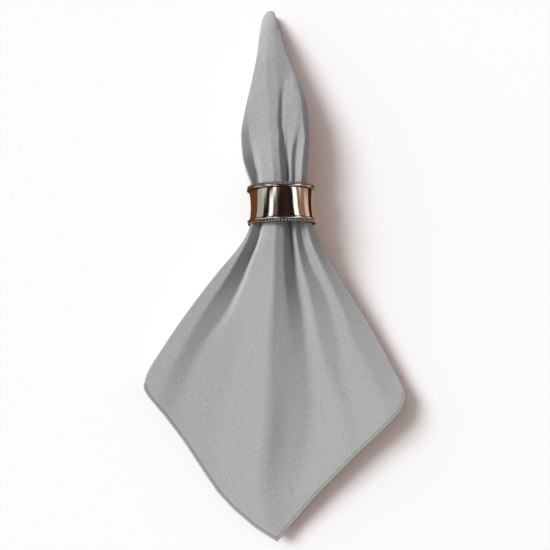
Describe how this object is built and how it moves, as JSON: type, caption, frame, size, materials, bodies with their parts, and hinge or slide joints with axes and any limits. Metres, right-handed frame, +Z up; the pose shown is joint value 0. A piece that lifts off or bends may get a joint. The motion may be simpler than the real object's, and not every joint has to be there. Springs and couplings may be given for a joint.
{
  "type": "table napkin in a ring",
  "caption": "Square grey table napkin picked up at its middle and drawn through a polished ring, its corners fanned out flat below it.",
  "frame": {"origin": "middle of the overall outline, on the table that the napkin lies on", "axes": "+Y along the napkin from its corners to the picked-up tip, +X to the right seen from above, +Z up from the table"},
  "size_m": [0.1705, 0.3488, 0.0447],
  "materials": {
    "cloth": "fine satin-like grey weave",
    "ring_metal": "mirror polished"
  },
  "bodies": {
    "root": {"napkin": "cloth", "ring_band": "ring_metal", "bead_rim_south": "ring_metal", "bead_rim_north": "ring_metal"}
  },
  "joints": []
}
